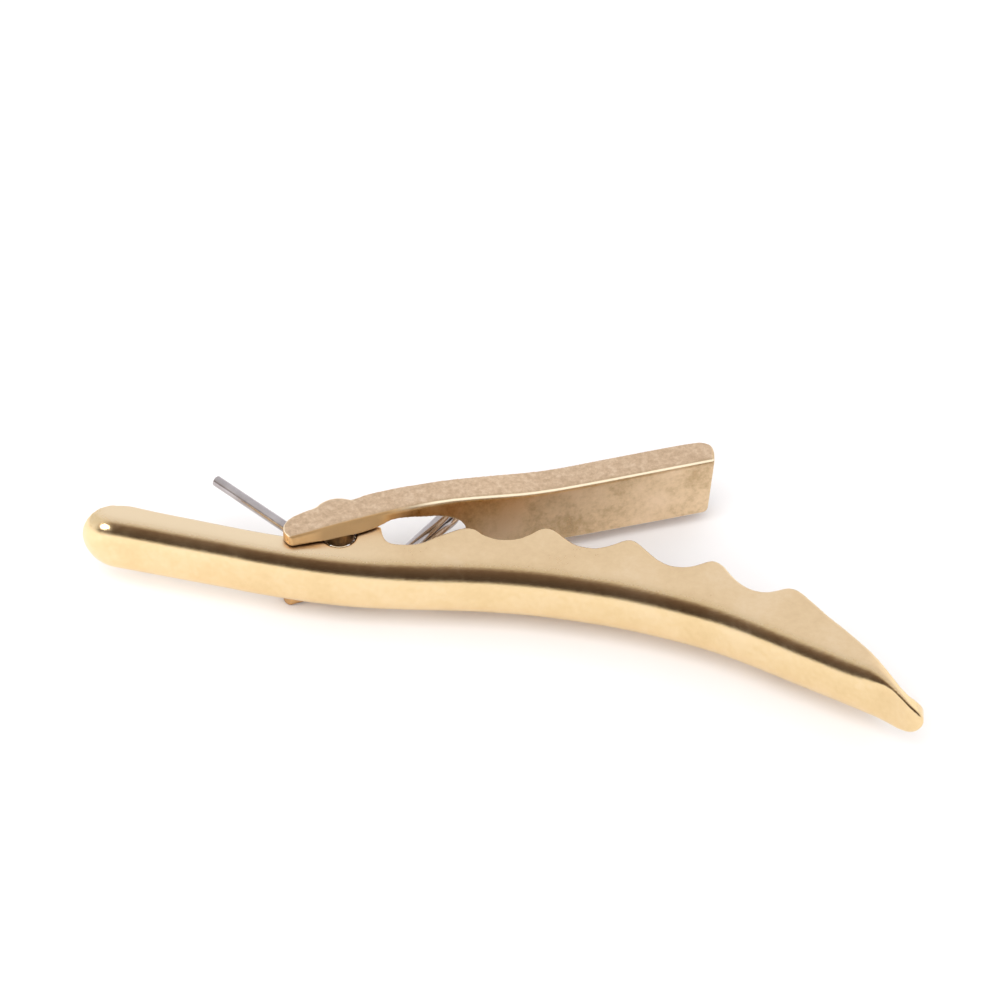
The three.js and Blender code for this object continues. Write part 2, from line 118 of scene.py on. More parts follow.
# Radius of the fold between the jaw's web and walls, outside and inside: x, radius
FOLD_OUTER = [
    (-16, 1.3), (0, 1.35), (6, 1.5), (30.5, 1.5), (32.4, 1.2), (33.2, 0.75), (34.2, 0.32),
    (36, 0.2),
]
FOLD_INNER = [(-16, 0.55), (0, 0.6), (6, 0.75), (30.5, 0.75), (32.4, 0.4), (33.4, 0.15), (36, 0.12)]
# Outside of the counter jaw's web: x, y
COUNTER_WEB = [
    (-3.6, -2.4), (-2.87, -2.12), (-1.51, -1.57), (-0.86, -1.28), (0.05, -0.91), (0.88, -0.58),
    (2.41, -0.02), (4.04, 0.54), (5.54, 1.0), (6.76, 1.34), (8.59, 1.8), (10.42, 2.27),
    (12.25, 2.76), (15.9, 3.74), (16.9, 4.0236), (18.4, 4.449), (19.9, 4.8744), (21.4, 5.2998),
    (22.0, 5.47), (23.3, 5.8387),
]
# Half width of the counter jaw: x, half width
COUNTER_HALF = [
    (-3.6, ARM_HALF), (4.3, ARM_HALF), (5.5, 2.83), (6.76, 2.77), (8.0, 2.66), (9.2, 2.51),
    (10.4, 2.35), (11.4, 2.23), (12.4, 2.16), (13.5, 2.13), (23.3, 2.15),
]
# Side outline of the counter jaw's walls: x, y
COUNTER_WALL = [
    (-2.6, -2.6), (-2.86, -2.16), (-3.08, -2.02), (-3.28, -1.78), (-3.4, -1.45), (-3.4, -1.1),
    (-3.25, -0.7), (-3.0, -0.37), (-2.38, 0.09), (-1.77, 0.45), (-1.5, 0.66), (-1.25, 0.98),
    (-0.93, 1.28), (-0.55, 1.49), (-0.1, 1.59), (0.35, 1.56), (0.68, 1.47), (1.1, 1.55),
    (1.88, 1.88), (3.1, 2.28), (4.32, 2.63), (5.54, 2.95), (6.76, 3.26), (7.98, 3.57),
    (9.2, 3.91), (10.42, 4.25), (11.64, 4.57), (12.86, 4.87), (14.08, 5.19), (15.3, 5.55),
    (20.4, 6.99), (21.55, 7.27), (22.05, 7.33), (22.45, 7.22), (22.72, 6.98), (22.86, 6.6),
    (22.9, 6.1), (22.9, 5.4), (22.6, 4.2),
]
# How far the lips hang below the counter jaw's web: x, drop
ARM_LIP = [
    (-3.3, 0), (-2.5, 0.08), (-1.37, 0.3), (-0.62, 0.51), (0.36, 0.58), (1.15, 0.66),
    (1.99, 0.56), (2.43, 0.4), (3.2, 0),
]
# Arched opening in the counter jaw's web: x, half width
ARCH_HALF = [
    (3.6, 2.1), (4.0, 2.03), (4.4, 1.95), (4.82, 1.86), (5.24, 1.76), (5.57, 1.71), (5.9, 1.64),
    (6.2, 1.555), (6.5, 1.44), (6.8, 1.31), (7.07, 1.15), (7.25, 1.02), (7.4, 0.87), (7.52, 0.72),
    (7.62, 0.56), (7.69, 0.38), (7.73, 0.2),
]
# Spring leg after the coil, with its hook and return: x, y, z from MID
SPRING_HOOK = [
    (1.2, -1.41, -0.72), (2.2, -1.27, -0.62), (2.75, -1.08, -0.55), (3.15, -0.7, -0.5),
    (3.6, -0.25, -0.47), (4.6, 0.965, -0.42), (5.3, 1.9, -0.4), (5.9, 2.7, -0.38),
    (6.35, 3.3, -0.33), (6.7, 3.77, -0.24), (7.0, 4.14, -0.32), (7.14, 4.32, -0.6),
    (7.14, 4.32, -0.94), (7.0, 4.14, -1.22), (6.7, 3.77, -1.3), (6.35, 3.3, -1.22),
    (5.9, 2.7, -1.17), (5.5, 2.17, -1.16), (5.1, 1.64, -1.16),
]


# ---- curves ----------------------------------------------------------------------------------
def curve(points):
    """Smooth monotone function through points, straight beyond both ends."""
    xs, ys = np.array(points, float).T
    widths = np.diff(xs)
    steep = np.diff(ys) / widths
    tangents = np.zeros(len(xs))
    tangents[0], tangents[-1] = steep[0], steep[-1]
    for i in range(1, len(xs) - 1):
        if steep[i - 1] * steep[i] > 0:
            before, after = 2 * widths[i] + widths[i - 1], widths[i] + 2 * widths[i - 1]
            tangents[i] = (before + after) / (before / steep[i - 1] + after / steep[i])

    def value(x):
        if x <= xs[0]:
            return ys[0] + tangents[0] * (x - xs[0])
        if x >= xs[-1]:
            return ys[-1] + tangents[-1] * (x - xs[-1])
        i = min(int(np.searchsorted(xs, x, side="right") - 1), len(xs) - 2)
        s = (x - xs[i]) / widths[i]
        ease = s * s * (3 - 2 * s)
        bend = s * (1 - s) ** 2 * tangents[i] - s * s * (1 - s) * tangents[i + 1]
        return float(ys[i] * (1 - ease) + ys[i + 1] * ease + widths[i] * bend)

    return value


def inside_of(web, sheet):
    """Inner face of a web: the outer curve raised by the sheet measured square to its slope."""
    return lambda x: web(x) + sheet * math.hypot(1, (web(x + 0.05) - web(x - 0.05)) / 0.1)


def between(first, second, start, end, t):
    return first * ((end - t) / (end - start)) + second * ((t - start) / (end - start))


def spline(points, per):
    """Centripetal Catmull-Rom line through points in the plane or in space."""
    points = [Vector(point) for point in points]
    padded = [points[0] * 2 - points[1]] + points + [points[-1] * 2 - points[-2]]
    line = []
    for i in range(len(points) - 1):
        four = padded[i : i + 4]
        knots = [0.0]
        for near, far in zip(four, four[1:]):
            knots.append(knots[-1] + max((far - near).length ** 0.5, 1e-6))
        for k in range(per):
            t = knots[1] + (knots[2] - knots[1]) * k / per
            three = [between(four[j], four[j + 1], knots[j], knots[j + 1], t) for j in range(3)]
            two = [between(three[j], three[j + 1], knots[j], knots[j + 2], t) for j in range(2)]
            line.append(between(*two, knots[1], knots[2], t))
    line.append(points[-1])
    return line


def spaced(start, end, steps):
    return [start + (end - start) * i / steps for i in range(steps + 1)]


def arc(x, y, radius, start, end, steps):
    angles = [math.radians(degrees) for degrees in spaced(start, end, steps)]
    return [(x + radius * math.cos(a), y + radius * math.sin(a)) for a in angles]


# ---- solids ----------------------------------------------------------------------------------
def mesh_object(name, verts, faces):
    """Object from millimetre points, with coincident points merged."""
    mesh = bpy.data.meshes.new(name)
    mesh.from_pydata([Vector(v) * MM for v in verts], [], faces)
    piece = bpy.data.objects.new(name, mesh)
    bpy.context.scene.collection.objects.link(piece)
    work = bmesh.new()
    work.from_mesh(mesh)
    bmesh.ops.remove_doubles(work, verts=work.verts, dist=2e-7)
    bmesh.ops.dissolve_degenerate(work, edges=work.edges, dist=1e-7)
    bmesh.ops.recalc_face_normals(work, faces=work.faces)
    work.to_mesh(mesh)
    work.free()
    return piece


def prism(name, points, low, high, along_y=False):
    """Prism of an outline (x, y) along Z, or (x, z) along Y."""
    n = len(points)
    verts = [(x, h, v) if along_y else (x, v, h) for h in (low, high) for x, v in points]
    faces = [list(range(n)), list(range(2 * n - 1, n - 1, -1))]
    faces += [[i, (i + 1) % n, n + (i + 1) % n, n + i] for i in range(n)]
    return mesh_object(name, verts, faces)


def tray(name, outline, floor, fold, top, levels=12):
    """Solid from floor(x) up to y = top, with plan outline (x, half width).

    The edge between floor and sides is rounded to radius fold(x).
    """
    n = len(outline)
    normals = []
    for i, (x, half) in enumerate(outline):
        if half == 0:
            normals.append((1, 0) if i == 0 else (-1, 0))
            continue
        before, after = outline[max(i - 1, 0)], outline[min(i + 1, n - 1)]
        run, rise = after[0] - before[0], after[1] - before[1]
        length = math.hypot(run, rise)
        normals.append((rise / length, -run / length))
    rings = [[(x, top, half) for x, half in outline]]
    for k in range(levels + 1):
        angle = k / levels * math.pi / 2
        ring = []
        for (x, half), normal in zip(outline, normals):
            radius = fold(x)
            inset = radius * (1 - math.cos(angle))
            ring_x = x + normal[0] * inset
            ring_half = 0.0 if half == 0 else max(half + normal[1] * inset, 0.015)
            ring.append((ring_x, floor(ring_x) + radius * (1 - math.sin(angle)), ring_half))
        rings.append(ring)
    verts, faces = [], []
    up, down = [], []
    for ring in rings:
        for rows, sign in ((up, 1), (down, -1)):
            rows.append(range(len(verts), len(verts) + n))
            verts += [(x, y, MID + sign * half) for x, y, half in ring]
    last = len(rings) - 1
    for k in range(last):
        for i in range(n - 1):
            faces.append([up[k][i], up[k + 1][i], up[k + 1][i + 1], up[k][i + 1]])
            faces.append([down[k][i], down[k][i + 1], down[k + 1][i + 1], down[k + 1][i]])
    for k in (0, last):
        for i in range(n - 1):
            faces.append([up[k][i], down[k][i], down[k][i + 1], up[k][i + 1]])
    for i in (0, n - 1):
        if outline[i][1] != 0:
            for k in range(last):
                faces.append([up[k][i], down[k][i], down[k + 1][i], up[k + 1][i]])
    return mesh_object(name, verts, faces)


def modify(piece, kind, **settings):
    """Adds a modifier and applies it at once."""
    modifier = piece.modifiers.new("step", kind)
    for key, value in settings.items():
        setattr(modifier, key, value)
    bpy.context.view_layer.objects.active = piece
    with bpy.context.temp_override(object=piece, active_object=piece, selected_objects=[piece]):
        bpy.ops.object.modifier_apply(modifier=modifier.name)


def boolean(piece, operation, tool):
    modify(piece, "BOOLEAN", operation=operation, object=tool, solver="EXACT")
    bpy.data.objects.remove(tool)


def join(piece, other):
    """Adds an overlapping solid; the even meshing that follows merges the two."""
    work = bmesh.new()
    work.from_mesh(piece.data)
    work.from_mesh(other.data)
    work.to_mesh(piece.data)
    work.free()
    bpy.data.objects.remove(other)


def fine_surface(piece, voxel, rounds):
    """Meshes a solid evenly and wears its edges round."""
    modify(piece, "REMESH", mode="VOXEL", voxel_size=voxel * MM, adaptivity=0.0)
    modify(piece, "SMOOTH", factor=0.5, iterations=rounds)
    piece.data.polygons.foreach_set("use_smooth", [True] * len(piece.data.polygons))


# ---- toothed jaw -----------------------------------------------------------------------------
def jaw_plan(half, end, start):
    """Plan (x, half width): round handle end, straight sides, nose narrowing from start to end."""
    plan = []
    for degrees in spaced(180, 90, 36):
        angle = math.radians(degrees)
        width = 0.0 if degrees == 180 else half * math.sin(angle)
        plan.append((HANDLE_END + half * math.cos(angle), width))
    plan += [(x, half) for x in spaced(HANDLE_END, start, 240)[1:]]
    for degrees in spaced(0, 90, 48)[1:]:
        x = start + (end - start) * math.sin(math.radians(degrees))
        narrowing = max(0.0, 1 - ((x - start) / (end - start)) ** NOSE_POWER)
        plan.append((x, 0.0 if degrees == 90 else half * math.sqrt(narrowing)))
    return plan


def build_jaw():
    web = curve(JAW_WEB)
    jaw = tray("jaw", jaw_plan(JAW_HALF, TIP_END, NOSE_START), web, curve(FOLD_OUTER), top=4)
    hollow_plan = jaw_plan(JAW_HALF - JAW_SHEET, TIP_END - TIP_WALL, NOSE_START - NOSE_INSET)
    hollow_floor = inside_of(web, JAW_SHEET)
    hollow = tray("jaw_inner", hollow_plan, hollow_floor, curve(FOLD_INNER), top=5)
    side = (
        spline(HANDLE_EDGE, per=5)
        + arc(0, -EAR_DROP, EAR_R, 212, 4, steps=72)
        + spline(TOOTH_EDGE, per=6)
        + [(36.6, -20), (-16.6, -20)]
    )
    # the slotted hole runs from the pivot to HOLE_DROP below it
    hole = arc(0, 0, HOLE_R, 0, 180, steps=40) + arc(0, -HOLE_DROP, HOLE_R, 180, 360, steps=40)
    boolean(jaw, "DIFFERENCE", hollow)
    boolean(jaw, "INTERSECT", prism("jaw_side", side, CUT_LOW, CUT_HIGH))
    boolean(jaw, "DIFFERENCE", prism("jaw_hole", hole, CUT_LOW, CUT_HIGH))
    fine_surface(jaw, VOXEL, rounds=5)
    jaw.name = "toothed_jaw_surface"
    return jaw


# ---- counter jaw -----------------------------------------------------------------------------
def lip(web, sign, steps=80):
    """Strip hanging below the web along one side wall; sign picks the side along Z."""
    drop = curve(ARM_LIP)
    verts, faces = [], []
    for x in spaced(ARM_LIP[0][0], ARM_LIP[-1][0], steps):
        y = web(x)
        section = ((LIP_OUT, y + 0.02), (LIP_IN, y - drop(x)), (LIP_IN, y + LIP_TOP),
                   (LIP_OUT, y + LIP_TOP))
        verts += [(x, level, MID + sign * z) for z, level in section]
    for i in range(steps):
        for j in range(4):
            k = (j + 1) % 4
            faces.append([4 * i + j, 4 * i + k, 4 * i + 4 + k, 4 * i + 4 + j])
    faces += [[0, 1, 2, 3], [4 * steps + j for j in (3, 2, 1, 0)]]
    return mesh_object("lip", verts, faces)


def press_ears(counter):
    """Rolls the outer edge of the ears off towards +Y and presses a faint ring round the pivot."""
    co = np.empty(len(counter.data.vertices) * 3)
    counter.data.vertices.foreach_get("co", co)
    co = co.reshape(-1, 3) / MM
    radius = np.hypot(co[:, 0], co[:, 1])
    out = co[:, 2] - MID
    outer = np.clip((np.abs(out) - 2.45) / 0.2, 0, 1)
    roll = np.clip((radius - 1.25) / 0.35, 0, 1) ** 1.5 * np.clip((co[:, 1] - 0.35) / 0.5, 0, 1)
    roll = roll * np.clip((1.5 - co[:, 0]) / 0.9, 0, 1)
    ring = 0.028 * np.exp(-(((radius - 1.3) / 0.09) ** 2)) * np.clip((co[:, 1] + 0.4) / 0.4, 0, 1)
    co[:, 2] -= np.sign(out) * outer * (0.13 * roll + ring)
    counter.data.vertices.foreach_set("co", (co * MM).ravel())
    counter.data.update()


def build_counter():
    web, half = curve(COUNTER_WEB), curve(COUNTER_HALF)

    def inner_half(x):
        return half(x) - ARM_SHEET

    xs = spaced(COUNTER_WEB[0][0], COUNTER_WEB[-1][0], 200)
    counter = tray("counter", [(x, half(x)) for x in xs], web, lambda x: 0.3, top=9, levels=8)
    # the hollow runs out past both ends
    hollow_plan = [(x, inner_half(x)) for x in [-4.2] + xs[1:-1] + [23.8]]
    hollow_floor = inside_of(web, ARM_SHEET)
    hollow = tray("counter_in", hollow_plan, hollow_floor, lambda x: 0.12, top=10, levels=4)
    for sign in (1, -1):
        boolean(counter, "UNION", lip(web, sign))
    wall = spline(COUNTER_WALL, per=5)
    boolean(counter, "INTERSECT", prism("counter_side", wall, CUT_LOW, CUT_HIGH))
    boolean(counter, "DIFFERENCE", hollow)

    # the web is open between the ears, and the opening closes in an arch
    arch_half = curve(ARCH_HALF)
    arch_start, arch_end = ARCH_HALF[0][0], ARCH_HALF[-1][0]
    arch = [(x, inner_half(x) + ARCH_PLAY) for x in spaced(-4.5, arch_start, 24)]
    for x in spaced(arch_start, arch_end, 60)[1:]:
        arch.append((x, min(inner_half(x) + ARCH_PLAY, arch_half(x))))
    arch.append((ARCH_APEX, 0.0))
    opening = [(x, MID + z) for x, z in arch] + [(x, MID - z) for x, z in arch[-2::-1]]
    boolean(counter, "DIFFERENCE", prism("arch_cut", opening, -6, 6, along_y=True))

    # the free end is set back and rounded on the floor side, with a small radius on the other
    end_half = half(COUNTER_END)
    large_x, large_z = COUNTER_END - END_SLANT - CORNER_R, MID - end_half + CORNER_R
    small_x, small_z = COUNTER_END - SMALL_CORNER_R, MID + end_half - SMALL_CORNER_R
    end_plan = (
        [(-5, CUT_LOW)]
        + arc(large_x, large_z, CORNER_R, -90, 0, steps=20)
        + arc(small_x, small_z, SMALL_CORNER_R, 0, 90, steps=10)
        + [(small_x, CUT_HIGH), (-5, CUT_HIGH)]
    )
    boolean(counter, "INTERSECT", prism("end_plan", end_plan, -6, 9, along_y=True))

    for low, high in ((HUB_MARGIN, MID - HUB_IN), (MID + HUB_IN, 2 * MID - HUB_MARGIN)):
        join(counter, prism("hub", arc(0, 0, HUB_R, 0, 352.5, steps=47), low, high))
    fine_surface(counter, VOXEL * 0.8, rounds=8)
    press_ears(counter)
    counter.name = "counter_jaw_surface"
    return counter


# ---- torsion spring --------------------------------------------------------------------------
def at_coil(degrees):
    angle = math.radians(degrees)
    z = MID + COIL_TOP - COIL_PITCH * (degrees - COIL_START) / 360
    return (COIL_R * math.cos(angle), COIL_R * math.sin(angle), z)


def resample(line, step):
    """Evenly spaced points along a line, about one step apart."""
    dist = [0.0]
    for near, far in zip(line, line[1:]):
        dist.append(dist[-1] + (far - near).length)
    count = max(int(dist[-1] / step), 8)
    points, j = [], 0
    for i in range(count + 1):
        target = dist[-1] * i / count
        while j < len(dist) - 2 and dist[j + 1] < target:
            j += 1
        part = (target - dist[j]) / max(dist[j + 1] - dist[j], 1e-9)
        points.append(line[j].lerp(line[j + 1], part))
    return points


def wire(name, path, radius, bevel, sides, step):
    """Round wire swept along a path, with slightly rounded flat ends."""
    points = resample(spline(path, per=12), step)
    last = len(points) - 1
    verts, faces, rings = [], [], []
    tangent = (points[1] - points[0]).normalized()
    normal = tangent.orthogonal().normalized()
    # end rings: radius, distance in from the end
    rounding = [(radius - bevel, 0.0), (radius - bevel * 0.3, bevel * 0.3), (radius, bevel)]
    for i, point in enumerate(points):
        heading = (points[min(i + 1, last)] - points[max(i - 1, 0)]).normalized()
        axis = tangent.cross(heading)
        if axis.length > 1e-9:
            turn = Matrix.Rotation(tangent.angle(heading), 3, axis.normalized())
            normal = (turn @ normal).normalized()
        tangent = heading
        other = tangent.cross(normal)
        sign = 1 if i == 0 else -1
        shells = {0: rounding, last: rounding[::-1]}.get(i, [(radius, 0.0)])
        for size, along in shells:
            rings.append(range(len(verts), len(verts) + sides))
            for k in range(sides):
                angle = 2 * math.pi * k / sides
                spoke = normal * math.cos(angle) + other * math.sin(angle)
                verts.append(point + tangent * (sign * along) + spoke * size)
    for near, far in zip(rings, rings[1:]):
        for k in range(sides):
            following = (k + 1) % sides
            faces.append([near[k], near[following], far[following], far[k]])
    faces.append(list(reversed(rings[0])))
    faces.append(list(rings[-1]))
    piece = mesh_object(name, verts, faces)
    for face in piece.data.polygons:
        face.use_smooth = len(face.vertices) == 4
    return piece


def build_spring():
    first = at_coil(COIL_START)
    path = []
    for part in (0, 0.2, 0.4, 0.6, 0.8, 0.93):
        path.append(tuple(a + (b - a) * part for a, b in zip(LEG_START, first)))
    path += [at_coil(degrees) for degrees in spaced(COIL_START, COIL_STOP, 72)]
    path += [(x, y, MID + z) for x, y, z in SPRING_HOOK]
    return wire("torsion_spring_wire", path, WIRE_R, WIRE_BEVEL, sides=28, step=0.09)


jaw = build_jaw()
counter = build_counter()
spring = build_spring()


# ---- shader helpers --------------------------------------------------------------------------
class Net:
    """Strings shader nodes together; values may be numbers or sockets."""

    def __init__(self, owner):
        owner.use_nodes = True
        self.tree = owner.node_tree
        self.tree.nodes.clear()

    def add(self, kind, **values):
        node = self.tree.nodes.new(kind)
        for key, value in values.items():
            setattr(node, key, value)
        return node

    def feed(self, socket, value):
        if isinstance(value, bpy.types.NodeSocket):
            self.tree.links.new(value, socket)
        else:
            socket.default_value = value

    def feed_all(self, node, values):
        for key, value in values.items():
            self.feed(node.inputs[key], value)

    def coord(self, kind):
        return self.add("ShaderNodeTexCoord").outputs[kind]

    def split(self, vector):
        node = self.add("ShaderNodeSeparateXYZ")
        self.feed(node.inputs[0], vector)
        return node.outputs

    def math(self, operation, first, second=None, clamp=False):
        node = self.add("ShaderNodeMath", operation=operation, use_clamp=clamp)
        self.feed(node.inputs[0], first)
        if second is not None:
            self.feed(node.inputs[1], second)
        return node.outputs[0]

    def times(self, first, second):
        return self.math("MULTIPLY", first, second)

    def plus(self, first, second, clamp=False):
        return self.math("ADD", first, second, clamp)

    def vector(self, operation, first, second):
        node = self.add("ShaderNodeVectorMath", operation=operation)
        self.feed_all(node, {0: first, 1: second})
        return node.outputs

    def noise(self, at, scale, detail=2.0, rough=0.5):
        node = self.add("ShaderNodeTexNoise")
        self.feed_all(
            node, {"Vector": at, "Scale": scale, "Detail": detail, "Roughness": rough}
        )
        return node.outputs["Fac"]

    def ramp(self, value, stops):
        """Colour ramp from stops of (position, colour)."""
        node = self.add("ShaderNodeValToRGB")
        while len(node.color_ramp.elements) < len(stops):
            node.color_ramp.elements.new(0.5)
        for element, (position, colour) in zip(node.color_ramp.elements, stops):
            element.position = position
            element.color = (*colour, 1)
        self.feed(node.inputs["Fac"], value)
        return node.outputs["Color"]

    def remap(self, value, span, to=(0.0, 1.0)):
        """Maps span onto to, clamped; a span from high to low falls instead of rising."""
        node = self.add("ShaderNodeMapRange")
        self.feed(node.inputs["Value"], value)
        for key, limit in zip(("From Min", "From Max", "To Min", "To Max"), (*span, *to)):
            node.inputs[key].default_value = limit
        return node.outputs["Result"]

    def mix(self, amount, start, end):
        """Colour start where amount is 0, end where it is 1."""
        node = self.add("ShaderNodeMix", data_type="RGBA")
        for i, value in ((0, amount), (6, start), (7, end)):
            self.feed(node.inputs[i], (*value, 1) if isinstance(value, tuple) else value)
        return node.outputs[2]

    def bump(self, height, distance, strength, normal=None):
        node = self.add("ShaderNodeBump")
        self.feed_all(node, {"Strength": strength, "Distance": distance, "Height": height})
        if normal is not None:
            self.feed(node.inputs["Normal"], normal)
        return node.outputs["Normal"]

    def open_air(self, distance):
        """1 in the open, falling to 0 deep between the parts."""
        node = self.add("ShaderNodeAmbientOcclusion", samples=8)
        node.inputs["Distance"].default_value = distance
        return node.outputs["AO"]

    def facing(self):
        """1 on the flat side walls, 0 on webs and sheared edges; also the normal's parts."""
        normal = self.split(self.coord("Normal"))
        return self.math("ABSOLUTE", normal["Z"]), normal


def new_material(name):
    material = bpy.data.materials.new(name)
    net = Net(material)
    output = net.add("ShaderNodeOutputMaterial")
    shader = net.add("ShaderNodeBsdfPrincipled")
    net.feed(output.inputs[0], shader.outputs[0])
    return material, net, shader, net.coord("Object")


NOISE_SPAN = (0.3, 0.7)  # the range most noise values fall in


# ---- materials -------------------------------------------------------------------------------
def brass_jaw():
    material, net, shader, at = new_material("tumbled_brass")
    flat, _ = net.facing()
    wall = net.remap(flat, span=(0.8, 0.97))
    broad = net.noise(at, scale=260, detail=3, rough=0.55)
    fine = net.noise(at, scale=2600, detail=3, rough=0.6)
    grain = net.noise(at, scale=9000, detail=2, rough=0.6)
    cloud = net.plus(net.times(broad, 0.6), net.times(fine, 0.4))
    # brass from its dark to its light clouds
    web_stops = [(0.36, (0.79, 0.59, 0.32)), (0.5, (0.84, 0.64, 0.36)), (0.64, (0.88, 0.69, 0.42))]
    wall_stops = [(0.36, (0.84, 0.62, 0.37)), (0.5, (0.89, 0.67, 0.41)), (0.64, (0.93, 0.72, 0.47))]
    pale, bore_shade_brown, crevice_shade_brown = (0.99, 0.81, 0.56), (0.22, 0.1, 0.04), (0.3, 0.14, 0.06)
    web_tone = net.ramp(cloud, web_stops)
    wall_tone = net.ramp(cloud, wall_stops)
    # the walls are paler on the handle side
    handle = net.times(wall, net.remap(net.split(at)["X"], span=(0.004, -0.004)))
    tone = net.mix(wall, web_tone, wall_tone)
    tone = net.mix(net.times(handle, 0.85), tone, pale)
    # painted shade: dark rim of the hole's lower arc, by distance from its axis
    flattened = net.vector("MULTIPLY", at, (1, 1, 0))[0]
    from_axis = net.vector("DISTANCE", flattened, (0, -HOLE_DROP * MM, 0))["Value"]
    near_hole = net.remap(from_axis, span=(0.00113, 0.00119), to=(1.0, 0.0))
    in_bore = net.times(near_hole, net.remap(flat, span=(0.985, 0.93)))
    tone = net.mix(in_bore, tone, bore_shade_brown)
    # painted shade: the base colour turns dark brown in recesses and between the parts, by ambient
    # occlusion
    unshaded = net.remap(net.open_air(distance=0.0009), span=(0.0, 0.35))
    rough = net.plus(net.remap(broad, NOISE_SPAN, to=(0.15, 0.22)), net.times(wall, 0.13))
    relief = net.bump(grain, distance=5e-6, strength=0.6)
    relief = net.bump(fine, distance=8e-6, strength=0.7, normal=relief)
    relief = net.bump(broad, distance=4e-5, strength=0.3, normal=relief)
    net.feed_all(shader, {
        "Base Color": net.mix(unshaded, crevice_shade_brown, tone),
        "Metallic": 1.0,
        "Roughness": net.plus(rough, net.remap(fine, NOISE_SPAN, to=(-0.02, 0.04))),
        "Normal": relief,
    })
    return material


def brass_counter():
    material, net, shader, at = new_material("raw_brass")
    flat, normal = net.facing()
    along = net.split(at)["X"]
    tooth_span = (0.003, 0.006)  # x where the toothed part takes over from the ears
    wall = net.remap(flat, span=(0.82, 0.99))
    front = net.remap(normal["Y"], span=(-0.1, -0.35))
    # the fold between web and walls on the -Y side: a wide ridge, made rougher, and a narrow core
    # within it, which carries a painted highlight
    slanted = net.times(net.remap(flat, span=(0.12, 0.4)), net.remap(flat, span=(0.97, 0.8)))
    ridge = net.times(slanted, net.times(front, net.remap(along, tooth_span)))
    core = net.times(net.remap(flat, span=(0.4, 0.55)), net.remap(flat, span=(0.9, 0.78)))
    core = net.times(net.times(core, front), net.remap(along, tooth_span))
    broad = net.noise(at, scale=330, detail=4, rough=0.62)
    fine = net.noise(at, scale=2900, detail=5, rough=0.7)
    grain = net.noise(at, scale=11000, detail=2, rough=0.6)
    cloud = net.plus(net.times(broad, 0.65), net.times(fine, 0.35))
    # brass from its dark to its light clouds
    web_stops = [(0.38, (0.56, 0.4, 0.23)), (0.5, (0.77, 0.58, 0.37)), (0.6, (0.87, 0.67, 0.46))]
    wall_stops = [
        (0.34, (0.63, 0.45, 0.295)), (0.5, (0.745, 0.545, 0.365)), (0.66, (0.875, 0.68, 0.49)),
    ]
    shear_dark, shear_light = (0.7, 0.44, 0.2), (0.93, 0.62, 0.3)
    highlight_cream, ear_rim_highlight_colour, crevice_shade_brown = (1.0, 0.9, 0.68), (0.98, 0.8, 0.56), (0.26, 0.12, 0.05)
    web_tone = net.ramp(cloud, web_stops)
    tone = net.mix(wall, web_tone, net.ramp(fine, wall_stops))
    # sheared edges of the arm, darker towards its end
    arm = net.remap(along, span=(0.0044, 0.0034))
    sheared = net.times(arm, net.remap(flat, span=(0.93, 0.8)))
    shear_tone = net.mix(net.remap(along, span=(-0.0032, -0.0005)), shear_dark, shear_light)
    tone = net.mix(sheared, tone, shear_tone)
    # painted highlight along the fold's core
    tone = net.mix(net.times(core, 0.9), tone, highlight_cream)
    # painted highlight on the rolled edges of the ears on the +Y side
    ear_rim_highlight = net.times(net.remap(flat, span=(0.985, 0.93)), net.remap(normal["Y"], span=(0.05, 0.3)))
    ear_rim_highlight = net.times(ear_rim_highlight, net.remap(along, span=(0.0016, 0.001)))
    tone = net.mix(net.times(ear_rim_highlight, 0.7), tone, ear_rim_highlight_colour)
    # painted highlight on the rounded edges at the arm's -X tip
    tip = net.remap(along, span=(-0.0029, -0.0032))
    tip = net.times(tip, net.remap(flat, span=(0.96, 0.85)))
    tip = net.times(tip, net.remap(flat, span=(0.4, 0.6)))
    tone = net.mix(tip, tone, highlight_cream)
    # painted shade: the base colour turns dark brown in recesses and between the parts, by ambient
    # occlusion
    unshaded = net.remap(net.open_air(distance=0.0012), span=(0.05, 0.6))
    # the painted highlights on the fold and the tip, and the sheared lip, scatter more than they
    # mirror
    dull = net.plus(net.times(core, 0.85), net.times(sheared, 0.14))
    dull = net.plus(dull, net.times(tip, 0.6), clamp=True)
    rough = net.plus(net.remap(broad, NOISE_SPAN, to=(0.28, 0.36)), net.times(wall, 0.08))
    rough = net.plus(rough, net.times(ridge, 0.1))
    rough = net.plus(rough, net.times(sheared, 0.16))
    relief = net.bump(grain, distance=6e-6, strength=0.6)
    relief = net.bump(fine, distance=1.2e-5, strength=0.7, normal=relief)
    relief = net.bump(broad, distance=5e-5, strength=0.35, normal=relief)
    net.feed_all(shader, {
        "Base Color": net.mix(unshaded, crevice_shade_brown, tone),
        "Metallic": net.math("SUBTRACT", 1.0, dull),
        "Roughness": net.plus(rough, net.remap(fine, NOISE_SPAN, to=(-0.04, 0.06))),
        "Normal": relief,
    })
    return material


